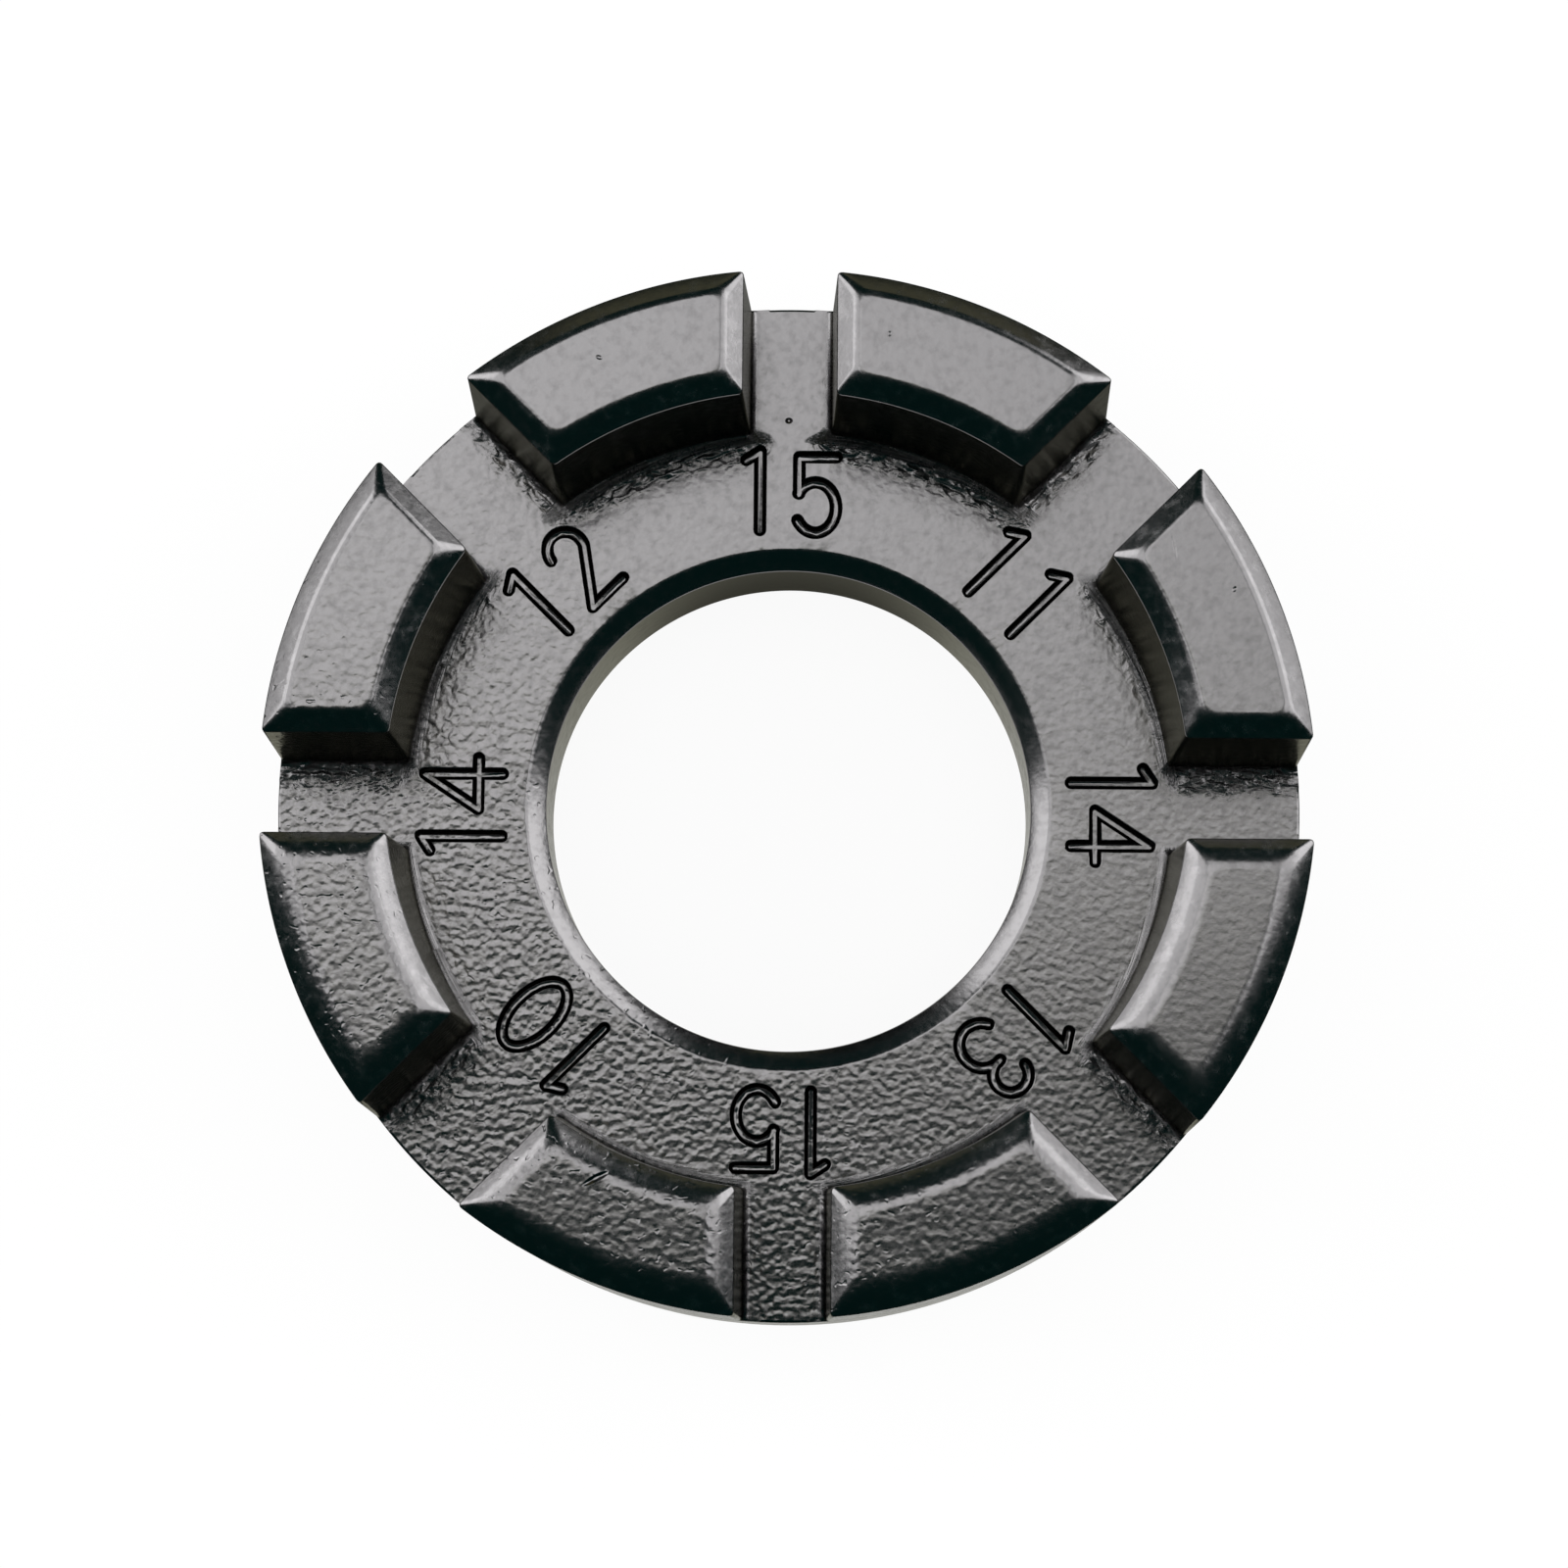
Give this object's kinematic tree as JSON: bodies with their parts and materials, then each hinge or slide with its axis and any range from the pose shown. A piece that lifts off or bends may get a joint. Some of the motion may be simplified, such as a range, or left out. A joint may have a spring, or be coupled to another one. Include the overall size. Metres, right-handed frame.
{
  "type": "spoke wrench",
  "caption": "Round cast spoke wrench: a flat ring with a central hole and raised lugs, whose parallel radial slots grip spoke nipples of graded sizes.",
  "frame": {"origin": "on the axis of the central hole, at the flat underside", "axes": "+Z along the axis of the central hole, from the flat underside towards the lugs; +Y along one of the 15 gauge slots and +X along one of the 14 gauge slots"},
  "size_m": [0.0404, 0.0404, 0.0122],
  "materials": {
    "black_casting": "glossy dark plating over a cast surface"
  },
  "bodies": {
    "root": {"ring_plate": "black_casting", "lug_14_11": "black_casting", "lug_11_15": "black_casting", "lug_15_12": "black_casting", "lug_12_14": "black_casting", "lug_14_10": "black_casting", "lug_10_15": "black_casting", "lug_15_13": "black_casting", "lug_13_14": "black_casting"}
  },
  "joints": []
}
